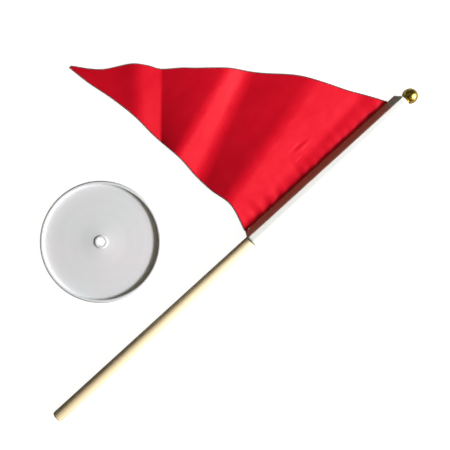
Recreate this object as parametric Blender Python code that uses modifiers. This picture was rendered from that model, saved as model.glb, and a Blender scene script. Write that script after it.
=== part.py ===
"""A triangular pennant flag on a ball-topped wooden pole, laid flat beside its round base dish.

World frame: +X runs along the pole from its foot to the ball, +Y goes out to the flag's side, and
+Z is up. The origin is the centre of the set's footprint, on the surface that it lies on.

Sizes are in metres. Lay coordinates (used by every function below) start at the centre of the
pole's foot, on the resting surface; LAY_ORIGIN moves them to the world frame.
"""

import math

import bmesh
import bpy
from mathutils import Vector

MM = 0.001

# Overall sizes
OVERALL_LENGTH = 500.0 * MM  # foot of the pole to the top of the ball
POLE_D = 12.0 * MM
BALL_D = 16.0 * MM
FLAG_HOIST = 198.0 * MM  # cloth along the seam
FLAG_FLY = 249.0 * MM  # seam to tip, as the cloth lies
BASE_D = 127.0 * MM

# Clearances
TOUCH_GAP = 0.3 * MM  # between pieces that meet
TURN_GAP = 0.3 * MM  # between the pole and the sleeve that turns on it

# Pole
FOOT_CHAMFER = 1.2 * MM
TOP_CHAMFER = 0.4 * MM
POLE_STEPS = 40

# Ball finial and its pin
NECK_FACE_IN = 1.0 * MM  # how far the pole's end face lies inside the ball's own radius
NECK_STEP = 0.3 * MM  # how far the neck stands in from the pole's side
NECK_LENGTH = 1.6 * MM
PIN_D = 3.0 * MM
PIN_IN_POLE = 10.0 * MM
PIN_IN_BALL = 9.0 * MM
PIN_END_GAP = 1.0 * MM
PIN_CHAMFER = 0.4 * MM

# Sleeve (the flag's heading)
SLEEVE_FOOT = 270.0 * MM  # from the pole's foot to the sleeve's lower end
SLEEVE_TOP_GAP = 0.8 * MM  # from the sleeve's upper end to the pole's end face
SLEEVE_WALL = 1.0 * MM
FLAP_REACH = 3.9 * MM  # how far the seam line lies outside the sleeve's round part
SEAM_Z = 8.6 * MM  # seam line, above the resting surface
FLAP_EDGE_R = 0.8 * MM  # half the thickness of the two layers at the seam
LOW_SETBACK = 2.6 * MM  # how far the flap's lower corner is cut back
TOP_SETBACK = 4.2 * MM  # the same at its upper corner
SLEEVE_STEPS = 48

# Flag cloth, as a solid that holds the folds
CLOTH_THICK = 1.2 * MM
TIP_SWEEP = 20.6 * MM  # how far the tip lies footward of the lower corner
TIP_WIDTH = 2.0 * MM
CLOTH_ALONG = 18  # divisions along the hoist
CLOTH_OUT = 34  # divisions from seam to tip

# Bow of each free edge from its straight chord: (share of the fly, bow towards the ball)
LOWER_BOW = (
    (0.0, 0.0),
    (0.12, 9.8 * MM),
    (0.22, 7.2 * MM),
    (0.31, 7.3 * MM),
    (0.40, 9.4 * MM),
    (0.55, 8.3 * MM),
    (0.66, 9.2 * MM),
    (0.78, 6.8 * MM),
    (0.90, 2.0 * MM),
    (1.0, 0.0),
)
UPPER_BOW = (
    (0.0, 0.0),
    (0.09, 6.3 * MM),
    (0.14, 8.9 * MM),
    (0.24, 16.3 * MM),
    (0.335, 21.6 * MM),
    (0.44, 20.2 * MM),
    (0.535, 21.2 * MM),
    (0.59, 18.8 * MM),
    (0.64, 15.9 * MM),
    (0.68, 14.4 * MM),
    (0.735, 10.0 * MM),
    (0.785, 12.2 * MM),
    (0.835, 11.2 * MM),
    (0.90, -0.2 * MM),
    (1.0, 0.0),
)

# Folds, from the seam outwards: (share of the fly at the lower edge, slope of the fold line, height)
FOLDS = (
    (0.145, 0.16, 11.6 * MM),
    (0.313, 0.41, 1.0 * MM),
    (0.448, 0.22, 7.4 * MM),
    (0.518, 1.07, 1.6 * MM),
    (0.660, 1.20, 6.0 * MM),
)
TIP_HEIGHT = 0.9 * MM

# Threads
THREAD_D = 0.8 * MM
THREAD_GAP = 0.45 * MM  # from the cloth's edge, where its folds lean sideways, to the thread
SEAM_THREAD_D = 0.7 * MM
SEAM_THREAD_INSET = 1.6 * MM  # from the flap's edge to the row of stitches
THREAD_SIDES = 2  # bevel resolution
KNOT_D = 1.6 * MM
KNOT_IN = 4.0 * MM  # from the flap's lower corner to the knot

# Base dish
BASE_X = 154.6 * MM
BASE_Y = 103.6 * MM
BASE_FLOOR = 2.6 * MM  # thickness of the floor
BASE_RIM_RISE = 3.6 * MM  # rim above the floor
BASE_RIM_WIDTH = 3.4 * MM
BASE_INNER_FILLET = 1.8 * MM  # at most the straight part of the rim's inner wall
BASE_EDGE_CHAMFER = 0.8 * MM
HUB_D = 13.6 * MM
HUB_RISE = 1.2 * MM
HUB_EDGE_R = 1.0 * MM
HUB_HOLE_D = 8.6 * MM
BASE_STEPS = 72
ARC_STEPS = 6

POLE_R = POLE_D / 2
BALL_R = BALL_D / 2
BORE_R = PIN_D / 2 + TOUCH_GAP
SLEEVE_HOLE_R = POLE_R + TURN_GAP
SLEEVE_R = SLEEVE_HOLE_R + SLEEVE_WALL
AXIS_Z = max(BALL_R, SLEEVE_R)  # the pole lies on its ball, or on the sleeve if that is fatter
BALL_X = OVERALL_LENGTH - BALL_R
BALL_SEAT = BALL_R - NECK_FACE_IN
POLE_LENGTH = BALL_X - BALL_SEAT
SLEEVE_LENGTH = POLE_LENGTH - SLEEVE_TOP_GAP - SLEEVE_FOOT
SEAM_OUT = SLEEVE_R + FLAP_REACH
SEAM_DROP = AXIS_Z - SEAM_Z
FLAP_EDGE = Vector((SEAM_OUT - FLAP_EDGE_R, -SEAM_DROP))
CLOTH_X = SLEEVE_FOOT + LOW_SETBACK
CLOTH_Y = SEAM_OUT + TOUCH_GAP
FOOTPRINT_OUT = CLOTH_Y + FLAG_FLY + THREAD_D  # the edge threads end just past the tip
LAY_ORIGIN = Vector((OVERALL_LENGTH / 2, (FOOTPRINT_OUT - AXIS_Z) / 2, 0.0))


def clear_scene():
    for obj in list(bpy.data.objects):
        bpy.data.objects.remove(obj, do_unlink=True)


def make_collection(name):
    collection = bpy.data.collections.new(name)
    bpy.context.scene.collection.children.link(collection)
    return collection


def make_material(name, color, roughness, metallic=0.0):
    material = bpy.data.materials.new(name)
    material.use_nodes = True
    shader = material.node_tree.nodes["Principled BSDF"]
    shader.inputs["Base Color"].default_value = (*color, 1.0)
    shader.inputs["Roughness"].default_value = roughness
    shader.inputs["Metallic"].default_value = metallic
    return material


def place(obj, material, collection, parent):
    """Gives a piece its material, its collection and its parent."""
    for other in list(obj.users_collection):
        other.objects.unlink(obj)
    collection.objects.link(obj)
    obj.data.materials.clear()
    obj.data.materials.append(material)
    obj.parent = parent
    return obj


def make_empty(name, location, collection, parent=None):
    empty = bpy.data.objects.new(name, None)
    empty.location = location
    empty.parent = parent
    collection.objects.link(empty)
    return empty


def arc(centre, radius, start_deg, end_deg, steps=ARC_STEPS):
    """Points on an arc, ends included, as (radius from the axis, height)."""
    points = []
    for index in range(steps + 1):
        angle = math.radians(start_deg + (end_deg - start_deg) * index / steps)
        x = centre[0] + radius * math.cos(angle)
        z = centre[1] + radius * math.sin(angle)
        points.append((x, z))
    return points


def turned(name, profile, steps, closed):
    """A profile of (radius, height) points, turned about local Z with a Screw modifier."""
    mesh = bpy.data.meshes.new(name)
    outline = bmesh.new()
    ring = [outline.verts.new((x, 0.0, z)) for x, z in profile]
    for start, end in zip(ring, ring[1:]):
        outline.edges.new((start, end))
    if closed:
        outline.edges.new((ring[-1], ring[0]))
    outline.to_mesh(mesh)
    outline.free()
    obj = bpy.data.objects.new(name, mesh)
    screw = obj.modifiers.new("Turn", "SCREW")
    screw.axis = "Z"
    screw.steps = steps
    screw.render_steps = steps
    screw.use_merge_vertices = True
    screw.merge_threshold = 0.00001
    screw.use_smooth_shade = False
    return obj


def tube(name, points, diameter, sides=THREAD_SIDES):
    """A thin round bar along a list of points, with closed ends."""
    curve = bpy.data.curves.new(name, "CURVE")
    curve.dimensions = "3D"
    curve.bevel_depth = diameter / 2
    curve.bevel_resolution = sides
    curve.use_fill_caps = True
    spline = curve.splines.new("POLY")
    spline.points.add(len(points) - 1)
    for point, place_of in zip(spline.points, points):
        point.co = (*place_of, 1.0)
    return bpy.data.objects.new(name, curve)


def smooth_value(knots, at):
    """A smooth curve through (position, value) knots, read at one position."""
    index = 0
    while index < len(knots) - 2 and at > knots[index + 1][0]:
        index += 1
    (x0, y0), (x1, y1) = knots[index], knots[index + 1]
    before = knots[max(index - 1, 0)]
    after = knots[min(index + 2, len(knots) - 1)]
    slope_in = (y1 - before[1]) / (x1 - before[0])
    slope_out = (after[1] - y0) / (after[0] - x0)
    t = (at - x0) / (x1 - x0)
    span = x1 - x0
    return (
        (2 * t**3 - 3 * t**2 + 1) * y0
        + (t**3 - 2 * t**2 + t) * span * slope_in
        + (3 * t**2 - 2 * t**3) * y1
        + (t**3 - t**2) * span * slope_out
    )


def lower_edge(share):
    """Distance along the pole, from the cloth's lower corner to its lower edge."""
    return smooth_value(LOWER_BOW, share) - TIP_SWEEP * share


def upper_edge(share):
    """The same to the upper edge."""
    tip = TIP_WIDTH - TIP_SWEEP
    return smooth_value(UPPER_BOW, share) + FLAG_HOIST + (tip - FLAG_HOIST) * share


def fold_height(along, out):
    """Height of the middle of the cloth above the surface, at a place on it."""
    knots = [(0.0, SEAM_Z)]
    for share, slope, height in FOLDS:
        knots.append((share * FLAG_FLY + slope * along, height))
    knots.append((max(FLAG_FLY, knots[-1][0] + 20 * MM), TIP_HEIGHT))
    for (start, low), (end, high) in zip(knots, knots[1:]):
        if out <= end:
            ease = 0.5 - 0.5 * math.cos(math.pi * (out - start) / (end - start))
            return low + (high - low) * ease
    return TIP_HEIGHT


def cloth_point(across, share):
    """A place on the cloth's middle: across is 0 at the lower edge and 1 at the upper edge."""
    low = lower_edge(share)
    along = low + (upper_edge(share) - low) * across
    out = FLAG_FLY * share
    return Vector((CLOTH_X + along, CLOTH_Y + out, fold_height(along, out)))


def beside_edge(across, share, outside):
    """A place level with the cloth's edge and outside it, square to the edge in plan."""
    step = 0.002
    start = cloth_point(across, max(share - step, 0.0))
    end = cloth_point(across, min(share + step, 1.0))
    tangent = (end - start).to_2d().normalized()
    turn = 1.0 if across > 0.5 else -1.0
    outwards = Vector((tangent.y, -tangent.x, 0.0)) * turn
    return cloth_point(across, share) + outwards * outside


def make_pole(material, collection, parent):
    bore_end = POLE_LENGTH - PIN_IN_POLE - PIN_END_GAP
    profile = [
        (0.0, bore_end),
        (BORE_R, bore_end),
        (BORE_R, POLE_LENGTH),
        (POLE_R - TOP_CHAMFER, POLE_LENGTH),
        (POLE_R, POLE_LENGTH - TOP_CHAMFER),
        (POLE_R, FOOT_CHAMFER),
        (POLE_R - FOOT_CHAMFER, 0.0),
        (0.0, 0.0),
    ]
    obj = turned("pole_dowel", profile, POLE_STEPS, closed=False)
    obj.location = (0.0, 0.0, AXIS_Z)
    obj.rotation_euler = (0.0, math.pi / 2, 0.0)
    return place(obj, material, collection, parent)


def make_ball(material, collection, parent):
    """The ball and its neck, turned about the pole's axis, with a blind bore for the pin."""
    face = TOUCH_GAP - BALL_SEAT
    neck_top = face + NECK_LENGTH
    neck_deg = math.degrees(math.asin(neck_top / BALL_R))
    bore_end = PIN_IN_BALL + PIN_END_GAP - BALL_SEAT
    profile = arc((0.0, 0.0), BALL_R, 90.0, neck_deg, 14)
    profile[0] = (0.0, BALL_R)
    profile += [
        (POLE_R - NECK_STEP, neck_top),
        (POLE_R - NECK_STEP, face),
        (BORE_R, face),
        (BORE_R, bore_end),
        (0.0, bore_end),
    ]
    obj = turned("finial_ball", profile, POLE_STEPS, closed=False)
    obj.rotation_euler = (0.0, math.pi / 2, 0.0)
    return place(obj, material, collection, parent)


def make_pin(material, collection, parent):
    top = PIN_IN_BALL - BALL_SEAT
    foot = -PIN_IN_POLE - BALL_SEAT
    radius = PIN_D / 2
    profile = [
        (0.0, top),
        (radius - PIN_CHAMFER, top),
        (radius, top - PIN_CHAMFER),
        (radius, foot + PIN_CHAMFER),
        (radius - PIN_CHAMFER, foot),
        (0.0, foot),
    ]
    obj = turned("finial_pin", profile, 16, closed=False)
    obj.rotation_euler = (0.0, math.pi / 2, 0.0)
    return place(obj, material, collection, parent)


def flap_angles():
    """The direction from the pole's axis to the flap's edge, and how far to each side of it the
    flap's faces leave the sleeve's round part, in radians."""
    aim = math.atan2(FLAP_EDGE.y, FLAP_EDGE.x)
    return aim, math.acos((SLEEVE_R - FLAP_EDGE_R) / FLAP_EDGE.length)


def sleeve_outline():
    """The belt round the sleeve's round part and its flap's edge, about the pole's axis."""
    aim, spread = (math.degrees(angle) for angle in flap_angles())
    points = arc((0.0, 0.0), SLEEVE_R, aim + spread, aim + 360.0 - spread, SLEEVE_STEPS)
    points += arc(FLAP_EDGE, FLAP_EDGE_R, aim - spread, aim + spread, 6)
    return points


def make_sleeve(material, collection, parent):
    """The teardrop section with its round hole, extruded along the pole, its flap cut back."""
    curve = bpy.data.curves.new("sleeve_section", "CURVE")
    curve.dimensions = "2D"
    curve.fill_mode = "BOTH"
    curve.extrude = SLEEVE_LENGTH / 2
    hole = arc((0.0, 0.0), SLEEVE_HOLE_R, 0.0, 360.0, SLEEVE_STEPS)[:-1]
    for points in (sleeve_outline(), hole):
        spline = curve.splines.new("POLY")
        spline.points.add(len(points) - 1)
        spline.use_cyclic_u = True
        for point, (x, y) in zip(spline.points, points):
            point.co = (x, y, 0.0, 1.0)
    guide = bpy.data.objects.new("sleeve_section", curve)
    collection.objects.link(guide)
    bpy.context.view_layer.update()
    graph = bpy.context.evaluated_depsgraph_get()
    mesh = bpy.data.meshes.new_from_object(guide.evaluated_get(graph))
    bpy.data.objects.remove(guide, do_unlink=True)
    mesh.name = "flag_sleeve"
    work = bmesh.new()
    work.from_mesh(mesh)
    bmesh.ops.remove_doubles(work, verts=work.verts, dist=0.000001)
    for vert in work.verts:
        share = (vert.co.x - SLEEVE_HOLE_R) / (SEAM_OUT - SLEEVE_HOLE_R)
        if share > 0.0:
            vert.co.z += share * (LOW_SETBACK if vert.co.z < 0 else -TOP_SETBACK)
    bmesh.ops.recalc_face_normals(work, faces=work.faces)
    work.to_mesh(mesh)
    work.free()
    obj = bpy.data.objects.new("flag_sleeve", mesh)
    obj.location = (SLEEVE_FOOT + SLEEVE_LENGTH / 2, 0.0, 0.0)
    obj.rotation_euler = (math.pi / 2, 0.0, math.pi / 2)
    return place(obj, material, collection, parent)


def make_cloth(material, collection, parent):
    """A grid shaped to the flag's outline and folds, thickened evenly about its middle."""
    mesh = bpy.data.meshes.new("flag_cloth")
    work = bmesh.new()
    bmesh.ops.create_grid(work, x_segments=CLOTH_ALONG, y_segments=CLOTH_OUT, size=0.5)
    for vert in work.verts:
        spot = cloth_point(vert.co.x + 0.5, vert.co.y + 0.5)
        vert.co = spot - Vector((0.0, 0.0, AXIS_Z))
    work.to_mesh(mesh)
    work.free()
    obj = bpy.data.objects.new("flag_cloth", mesh)
    shell = obj.modifiers.new("Thickness", "SOLIDIFY")
    shell.thickness = CLOTH_THICK
    shell.offset = 0.0
    return place(obj, material, collection, parent)


def make_edge_thread(name, across, material, collection, parent):
    outside = THREAD_GAP + THREAD_D / 2
    points = []
    for index in range(CLOTH_OUT + 1):
        spot = beside_edge(across, index / CLOTH_OUT, outside)
        points.append(spot - Vector((0.0, 0.0, AXIS_Z)))
    obj = tube(name, points, THREAD_D)
    return place(obj, material, collection, parent)


def flap_top_spot(inset, lift):
    """A place over the flap's upper face, inset from its edge and lifted off the face."""
    aim, spread = flap_angles()
    normal = Vector((math.cos(aim + spread), math.sin(aim + spread)))
    inwards = Vector((-normal.y, normal.x))
    return FLAP_EDGE + normal * (FLAP_EDGE_R + lift) + inwards * inset


def make_seam_thread(material, collection, parent):
    spot = flap_top_spot(SEAM_THREAD_INSET, TOUCH_GAP + SEAM_THREAD_D / 2)
    low = CLOTH_X + KNOT_IN + KNOT_D
    high = CLOTH_X + FLAG_HOIST
    ends = [Vector((low, spot.x, spot.y)), Vector((high, spot.x, spot.y))]
    obj = tube("seam_thread", ends, SEAM_THREAD_D)
    return place(obj, material, collection, parent)


def make_knot(material, collection, parent):
    spot = flap_top_spot(SEAM_THREAD_INSET, TOUCH_GAP + KNOT_D / 2)
    mesh = bpy.data.meshes.new("seam_end_knot")
    work = bmesh.new()
    bmesh.ops.create_uvsphere(work, u_segments=14, v_segments=9, radius=KNOT_D / 2)
    work.to_mesh(mesh)
    work.free()
    obj = bpy.data.objects.new("seam_end_knot", mesh)
    obj.location = (CLOTH_X + KNOT_IN, spot.x, spot.y)
    return place(obj, material, collection, parent)


def base_profile():
    """Outer wall, rounded rim, inner fillet, floor, raised collar and hole, as one closed ring."""
    outer = BASE_D / 2
    top = BASE_FLOOR + BASE_RIM_RISE
    rim_r = BASE_RIM_WIDTH / 2
    inner = outer - BASE_RIM_WIDTH
    fillet = min(BASE_INNER_FILLET, BASE_RIM_RISE - rim_r)
    hub = HUB_D / 2
    hub_top = BASE_FLOOR + HUB_RISE
    hole = HUB_HOLE_D / 2
    points = arc((outer - rim_r, top - rim_r), rim_r, 180.0, 0.0, 8)
    points += [
        (outer, BASE_EDGE_CHAMFER),
        (outer - BASE_EDGE_CHAMFER, 0.0),
        (hole, 0.0),
        (hole, hub_top),
    ]
    points += arc((hub - HUB_EDGE_R, hub_top - HUB_EDGE_R), HUB_EDGE_R, 90.0, 0.0, 4)
    points.append((hub, BASE_FLOOR))
    points += arc((inner - fillet, BASE_FLOOR + fillet), fillet, 270.0, 360.0, 5)
    return points


def make_base(material, collection, parent):
    obj = turned("base_dish", base_profile(), BASE_STEPS, closed=True)
    return place(obj, material, collection, parent)


def main():
    clear_scene()
    parts = make_collection("pennant_flag_set")
    wood = make_material("pole_wood", (0.78, 0.62, 0.38), 0.6)
    brass = make_material("finial_brass", (0.83, 0.63, 0.20), 0.18, 1.0)
    steel = make_material("pin_steel", (0.6, 0.6, 0.62), 0.35, 1.0)
    canvas = make_material("sleeve_canvas", (0.86, 0.86, 0.83), 0.85)
    satin = make_material("flag_satin", (0.75, 0.01, 0.03), 0.5)
    edging = make_material("edge_thread_red", (0.30, 0.02, 0.03), 0.8)
    stitch = make_material("seam_thread_white", (0.80, 0.76, 0.72), 0.8)
    moulding = make_material("base_plastic", (0.80, 0.80, 0.81), 0.4)

    lay = make_empty("lay_origin", -LAY_ORIGIN, parts)
    flag = make_empty("flag_axis", (0.0, 0.0, AXIS_Z), parts, lay)
    finial = make_empty("finial_axis", (BALL_X, 0.0, AXIS_Z), parts, lay)
    base = make_empty("base_axis", (BASE_X, BASE_Y, 0.0), parts, lay)

    make_pole(wood, parts, lay)
    make_ball(brass, parts, finial)
    make_pin(steel, parts, finial)
    make_sleeve(canvas, parts, flag)
    make_cloth(satin, parts, flag)
    make_edge_thread("upper_edge_thread", 1.0, edging, parts, flag)
    make_edge_thread("lower_edge_thread", 0.0, edging, parts, flag)
    make_seam_thread(stitch, parts, flag)
    make_knot(stitch, parts, flag)
    make_base(moulding, parts, base)


main()
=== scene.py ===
"""The looks of a triangular pennant flag on a ball-topped wooden pole, and of its round base dish.

It is laid out as an add-on and run as a script: one operator makes each piece, and main() calls them.
World frame, in metres: +X runs along the pole to the ball, +Y goes out to the flag's side, +Z is up.
"""

import math

import bmesh
import bpy
from bpy.props import FloatProperty, FloatVectorProperty, IntProperty, PointerProperty
from mathutils import Matrix, Vector, noise


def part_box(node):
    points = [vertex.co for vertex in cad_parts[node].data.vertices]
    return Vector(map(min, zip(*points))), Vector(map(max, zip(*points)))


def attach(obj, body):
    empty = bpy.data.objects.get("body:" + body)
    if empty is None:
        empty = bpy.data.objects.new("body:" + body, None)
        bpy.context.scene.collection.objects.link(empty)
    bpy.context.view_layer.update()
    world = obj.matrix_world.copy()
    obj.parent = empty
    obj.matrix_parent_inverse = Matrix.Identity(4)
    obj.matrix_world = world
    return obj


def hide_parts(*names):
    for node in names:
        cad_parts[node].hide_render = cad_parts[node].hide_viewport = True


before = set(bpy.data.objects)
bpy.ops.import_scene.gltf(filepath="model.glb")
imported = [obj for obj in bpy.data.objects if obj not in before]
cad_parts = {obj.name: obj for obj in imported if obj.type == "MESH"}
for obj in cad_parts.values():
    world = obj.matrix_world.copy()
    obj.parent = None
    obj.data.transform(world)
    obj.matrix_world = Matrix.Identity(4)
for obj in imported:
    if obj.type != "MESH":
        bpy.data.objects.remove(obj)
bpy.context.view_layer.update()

bl_info = {
    "name": "Pennant flag looks",
    "version": (1, 0, 0),
    "blender": (4, 5, 0),
    "location": "3D View > Sidebar > Pennant",
    "description": "Fine pieces and finishes for a pennant flag, its pole and its base dish",
    "category": "Add Mesh",
}

MM = 0.001

# Places and sizes read from the frame
POLE_LOW, POLE_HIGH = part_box("pole_dowel")
BALL_LOW, BALL_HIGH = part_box("finial_ball")
SLEEVE_LOW, SLEEVE_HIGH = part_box("flag_sleeve")
CLOTH_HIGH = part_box("flag_cloth")[1]
BASE_LOW, BASE_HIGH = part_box("base_dish")
PIN_LOW, PIN_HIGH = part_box("finial_pin")

POLE_AXIS = (POLE_LOW + POLE_HIGH) / 2
POLE_AXIS.x = 0.0
POLE_R = (POLE_HIGH.y - POLE_LOW.y) / 2
BALL_R = (BALL_HIGH.z - BALL_LOW.z) / 2
BALL_X = BALL_HIGH.x - BALL_R
BASE_CENTRE = (BASE_LOW + BASE_HIGH) / 2
BASE_CENTRE.z = BASE_LOW.z
BASE_R = (BASE_HIGH.x - BASE_LOW.x) / 2
BASE_HEIGHT = BASE_HIGH.z - BASE_LOW.z

# Pin and its bores
PIN_BORE_R = (PIN_HIGH.z - PIN_LOW.z) / 2 + 0.3 * MM
PIN_END_GAP = 1.0 * MM
NECK_R = POLE_R - 0.3 * MM

# The flag, as in the solid model
SEAM_Z = 8.6 * MM
SEAM_OUT = SLEEVE_HIGH.y - POLE_AXIS.y
LOW_SETBACK = 2.6 * MM
TOP_SETBACK = 4.2 * MM
CLOTH_X = SLEEVE_LOW.x + LOW_SETBACK
CLOTH_Y = SLEEVE_HIGH.y + 0.3 * MM
HOIST = 198.0 * MM
FLY = CLOTH_HIGH.y - CLOTH_Y
TIP_SWEEP = 20.6 * MM
TIP_WIDTH = 2.0 * MM
TIP_HEIGHT = 0.9 * MM
TUCK = 3.0 * MM  # cloth between the sleeve's two layers

# Bow of each free edge from its straight chord: (share of the fly, millimetres towards the ball)
LOWER_BOW = (
    (0.0, 0.0), (0.12, 9.8), (0.22, 7.2), (0.31, 7.3), (0.40, 9.4), (0.55, 8.3), (0.66, 9.2),
    (0.78, 6.8), (0.90, 2.0), (1.0, 0.0),
)
UPPER_BOW = (
    (0.0, 0.0), (0.09, 6.3), (0.14, 8.9), (0.24, 16.3), (0.335, 21.6), (0.44, 20.2), (0.535, 21.2),
    (0.59, 18.8), (0.64, 15.9), (0.68, 14.4), (0.735, 10.0), (0.785, 12.2), (0.835, 11.2),
    (0.90, -0.2), (1.0, 0.0),
)

# Folds from the seam outwards: (share of the fly at the lower edge, slope of the fold line, height,
# how far the bend is spread to each side)
FOLDS = (
    (0.016, 0.10, 7.9 * MM, 3.5 * MM),
    (0.132, 0.228, 11.8 * MM, 8.0 * MM),
    (0.280, 0.435, 1.4 * MM, 9.0 * MM),
    (0.424, 0.305, 8.4 * MM, 6.0 * MM),
    (0.521, 1.07, 1.8 * MM, 0.8 * MM),
    (0.660, 1.20, 6.6 * MM, 12.0 * MM),
)
FOLD_FALL = 0.22  # share of a fold's height that is lost from the lower edge to the upper
DIP = 1.2 * MM  # depth of the hollow beside the seam

# Small pinches in the first fold: (along the seam, out from it, half length, height)
PINCHES = (
    (98 * MM, 28.5 * MM, 6.5 * MM, -0.34 * MM),
    (103 * MM, 24.5 * MM, 8.0 * MM, 0.36 * MM),
    (92 * MM, 17.0 * MM, 5.0 * MM, -0.2 * MM),
)
PINCH_WIDTH = 1.3 * MM

# The heading's section, and the threads
CREASE = Vector((4.3 * MM, 6.75 * MM))  # pressed line on a layer, out and up from the pole's axis
WRAP_ANGLE = 95.0  # degrees from the seam's side to where a layer leaves the dowel
TAB = 0.9 * MM  # flat part of the two layers at the seam
LAYER_GAP = 0.22 * MM  # from the seam's middle to the face of a layer
THREAD_D = 0.42 * MM

# The dish's moulding
HOLE_R = 4.3 * MM
HUB_R = 6.8 * MM
HUB_RISE = 1.2 * MM
SIDE_TURN = ((0.1 * MM, 3.6 * MM), (0.0, 3.2 * MM))  # (in from the outside, height)
GROOVES = (54 * MM, 32 * MM)  # radii of the rings in the underside
GROOVE_DEPTH = 0.25 * MM
FLOOR_RINGS = (30 * MM, 48 * MM)  # radii that divide the floor

# The stage
CAMERA_TARGET = Vector((0.0115, -0.0966, 0.0))
WINDOW_DISTANCE = 1.3
WINDOW_SIZE = (0.5, 0.2)
WINDOW_COLOUR = (0.99, 0.985, 1.0)
ROOM_COLOUR = (1.0, 0.92, 0.62)
BACKDROP = (1.0, 1.0, 1.0)
PANEL_LEAN = math.radians(48.0)  # from overhead to the bright panel that shiny pieces reflect
PANEL_EDGES = (math.cos(math.radians(34.0)), math.cos(math.radians(27.0)))  # its soft border


# ---- settings


def length_prop(name, description, default):
    return FloatProperty(
        name=name, description=description, default=default, unit="LENGTH", precision=5
    )


def colour_prop(name, description, default):
    return FloatVectorProperty(
        name=name, description=description, default=default, subtype="COLOR", min=0.0, max=1.0
    )


def angle_prop(name, description, degrees):
    return FloatProperty(
        name=name, description=description, default=math.radians(degrees), subtype="ANGLE"
    )


class PoleLook(bpy.types.PropertyGroup):
    steps: IntProperty(name="Steps", description="Faces round the dowel", default=96)
    foot_softness: length_prop("Foot softness", "Radius of the worn edge at the foot", 1.5 * MM)
    ring_spacing: length_prop("Ring spacing", "Growth rings, from one to the next", 1.7 * MM)
    light_wood: colour_prop("Early wood", "Colour between the growth lines", (0.90, 0.76, 0.54))
    dark_wood: colour_prop("Late wood", "Colour of the growth lines", (0.78, 0.59, 0.33))


class FinialLook(bpy.types.PropertyGroup):
    steps: IntProperty(name="Steps", description="Faces round the ball", default=96)
    brass: colour_prop("Brass", "Colour of the polished metal", (0.84, 0.66, 0.16))
    tarnish: colour_prop("Tarnish", "Colour in the groove and in faint patches", (0.42, 0.24, 0.05))
    steel: colour_prop("Steel", "Colour of the pin", (0.55, 0.55, 0.56))


class SleeveLook(bpy.types.PropertyGroup):
    thickness: length_prop("Cloth thickness", "One layer of the heading", 0.5 * MM)
    thread_pitch: length_prop("Thread pitch", "From one thread to the next", 0.55 * MM)
    hem: length_prop("Hem", "Width of the turned hem at each end", 4.5 * MM)
    canvas: colour_prop("Canvas", "Colour of the heading", (0.71, 0.73, 0.74))
    # This colour is painted red bounce light from the flag, laid on the sleeve's shaded flank beside the
    # seam.
    red_bounce: colour_prop("Red_bounce", "Colour that the flag's dye leaves beside the seam", (0.97, 0.31, 0.29))


class ClothLook(bpy.types.PropertyGroup):
    thickness: length_prop("Thickness", "Thickness of the satin", 0.36 * MM)
    thread_pitch: length_prop("Thread pitch", "From one thread to the next", 0.6 * MM)
    pucker: length_prop("Pucker", "Height of the gathers beside the seam", 0.9 * MM)
    rows_along: IntProperty(name="Rows", description="Divisions along the seam", default=150)
    rows_out: IntProperty(name="Columns", description="Divisions from seam to tip", default=196)
    satin: colour_prop("Satin", "Colour of the cloth", (0.73, 0.0004, 0.018))


class ThreadLook(bpy.types.PropertyGroup):
    wrap_pitch: length_prop("Wrap pitch", "From one turn of the edging to the next", 1.5 * MM)
    stitch: length_prop("Stitch", "Length of one seam stitch", 2.3 * MM)
    stitch_gap: length_prop("Stitch gap", "From one seam stitch to the next", 0.7 * MM)
    edging: colour_prop("Edging", "Colour of the thread on the free edges", (0.13, 0.05, 0.045))
    stitching: colour_prop("Stitching", "Colour of the seam's thread", (0.76, 0.72, 0.68))


class BaseLook(bpy.types.PropertyGroup):
    steps: IntProperty(name="Steps", description="Faces round the dish", default=160)
    floor: length_prop("Floor", "Thickness of the dish's floor", 2.6 * MM)
    rim_width: length_prop("Rim width", "Width of the rounded rim", 3.4 * MM)
    fillet: length_prop("Fillet", "Radius where the floor meets the rim", 1.8 * MM)
    plastic: colour_prop("Plastic", "Colour of the moulding", (0.80, 0.82, 0.88))


class StageLook(bpy.types.PropertyGroup):
    camera_height: length_prop("Camera height", "Camera above the surface", 0.75)
    camera_turn: angle_prop("Camera turn", "Turn of the picture about the vertical", -42.3)
    picture_width: length_prop("Picture width", "Width that the picture holds, level with the pole", 0.464)
    key_power: FloatProperty(
        name="Key power", description="Power of the window light", default=25.5, unit="POWER"
    )
    key_rise: angle_prop("Key height", "Height of the window light above the horizon", 28.0)
    key_turn: angle_prop("Key turn", "Direction of the window light, from +X", -56.0)
    fill: FloatProperty(name="Fill", description="Strength of the room's light", default=1.0)
    floor_glow: FloatProperty(
        name="Floor glow", description="Brightness of the surface as it is seen", default=0.97
    )


# ---- shapes


def arc(centre, radius, start_deg, end_deg, steps):
    """Points on an arc, ends included."""
    points = []
    for index in range(steps + 1):
        angle = math.radians(start_deg + (end_deg - start_deg) * index / steps)
        points.append((centre[0] + radius * math.cos(angle), centre[1] + radius * math.sin(angle)))
    return points


def spin_profile(points, centre, axis, side, steps, closed=False):
    """A turned shape: points are (distance along the axis, radius), side is where radius starts."""
    work = bmesh.new()
    ring = [work.verts.new(centre + axis * along + side * radius) for along, radius in points]
    for start, end in zip(ring, ring[1:]):
        work.edges.new((start, end))
    if closed:
        work.edges.new((ring[-1], ring[0]))
    bmesh.ops.spin(
        work,
        geom=work.verts[:] + work.edges[:],
        cent=centre,
        axis=axis,
        angle=2 * math.pi,
        steps=steps,
        use_merge=True,
    )
    bmesh.ops.remove_doubles(work, verts=work.verts, dist=0.000001)
    bmesh.ops.recalc_face_normals(work, faces=work.faces)
    return work


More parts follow.
